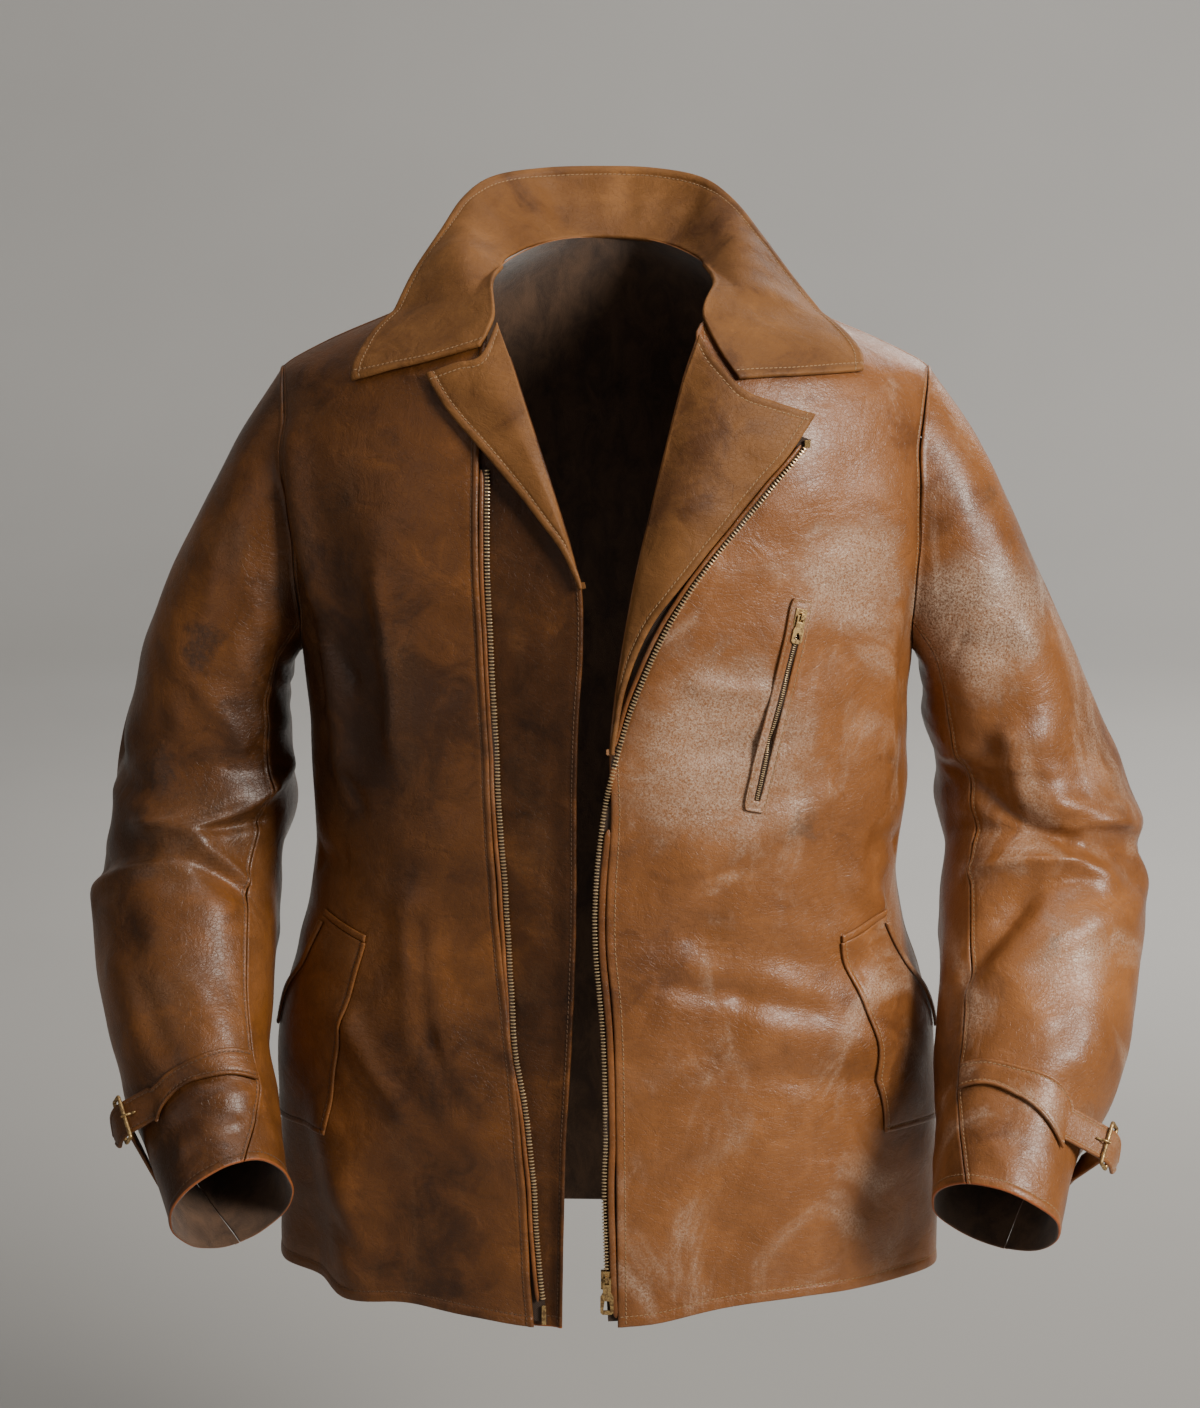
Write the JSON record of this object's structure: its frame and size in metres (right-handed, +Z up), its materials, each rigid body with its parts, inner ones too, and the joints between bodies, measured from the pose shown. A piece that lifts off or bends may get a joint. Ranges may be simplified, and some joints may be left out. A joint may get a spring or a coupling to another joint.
{
  "type": "leather coat",
  "caption": "Hip-length worn leather coat, open at the front, with a stand collar, lapels, a front zip, slanted pockets and strapped cuffs.",
  "frame": {"origin": "middle of the neck opening, level with the neck ends of the shoulder seams", "axes": "+X towards the wearer's left, -Y out of the coat's front, +Z up"},
  "size_m": [0.7535, 0.3277, 0.7913],
  "materials": {
    "tan": "waxed smooth leather, worn, warm tan to orange brown",
    "brown": "waxed smooth leather, worn, dark chocolate brown",
    "facing": "matte olive brown leather",
    "tape": "woven zip tape, dark brown",
    "brass": "aged brass, rubbed bright on the edges"
  },
  "bodies": {
    "coat": {"back": "tan", "front_left": "tan", "front_right": "brown", "wind_flap_right": "brown", "zip_tape_right": "tape", "zip_tape_left": "tape", "zip_tape_lapel": "tape", "lapel_left": "facing", "lapel_right": "facing", "collar": "facing", "sleeve_left_top": "tan", "sleeve_left_under": "tan", "sleeve_right_top": "brown", "sleeve_right_under": "brown", "hand_pocket_left": "tan", "hand_pocket_left_welt": "tan", "hand_pocket_left_bar": "tan", "hand_pocket_right": "brown", "hand_pocket_right_welt": "brown", "hand_pocket_right_bar": "brown", "chest_pocket_frame": "tan", "chest_zip_tape": "tape", "cuff_strap_left": "tan", "cuff_tab_left": "tan", "cuff_buckle_left": "brass", "cuff_prong_left": "brass", "cuff_strap_right": "brown", "cuff_tab_right": "brown", "cuff_buckle_right": "brass", "cuff_prong_right": "brass", "main_slider": "brass", "chest_slider": "brass", "zip_stop_top": "brass", "zip_pin_right": "brass"},
    "main_pull": {"main_pull": "brass"},
    "chest_pull": {"chest_pull": "brass"}
  },
  "joints": [
    {"name": "main_pull_swing", "type": "hinge", "parent": "coat", "child": "main_pull", "pos_m": [0.00483, -0.1425, -0.69], "axis": [-1, 0, 0], "range_deg": [0, 150]},
    {"name": "chest_pull_swing", "type": "hinge", "parent": "coat", "child": "chest_pull", "pos_m": [0.13675, -0.11683, -0.22459], "axis": [-0.9129, -0.3312, 0.2386], "range_deg": [0, 150]}
  ]
}
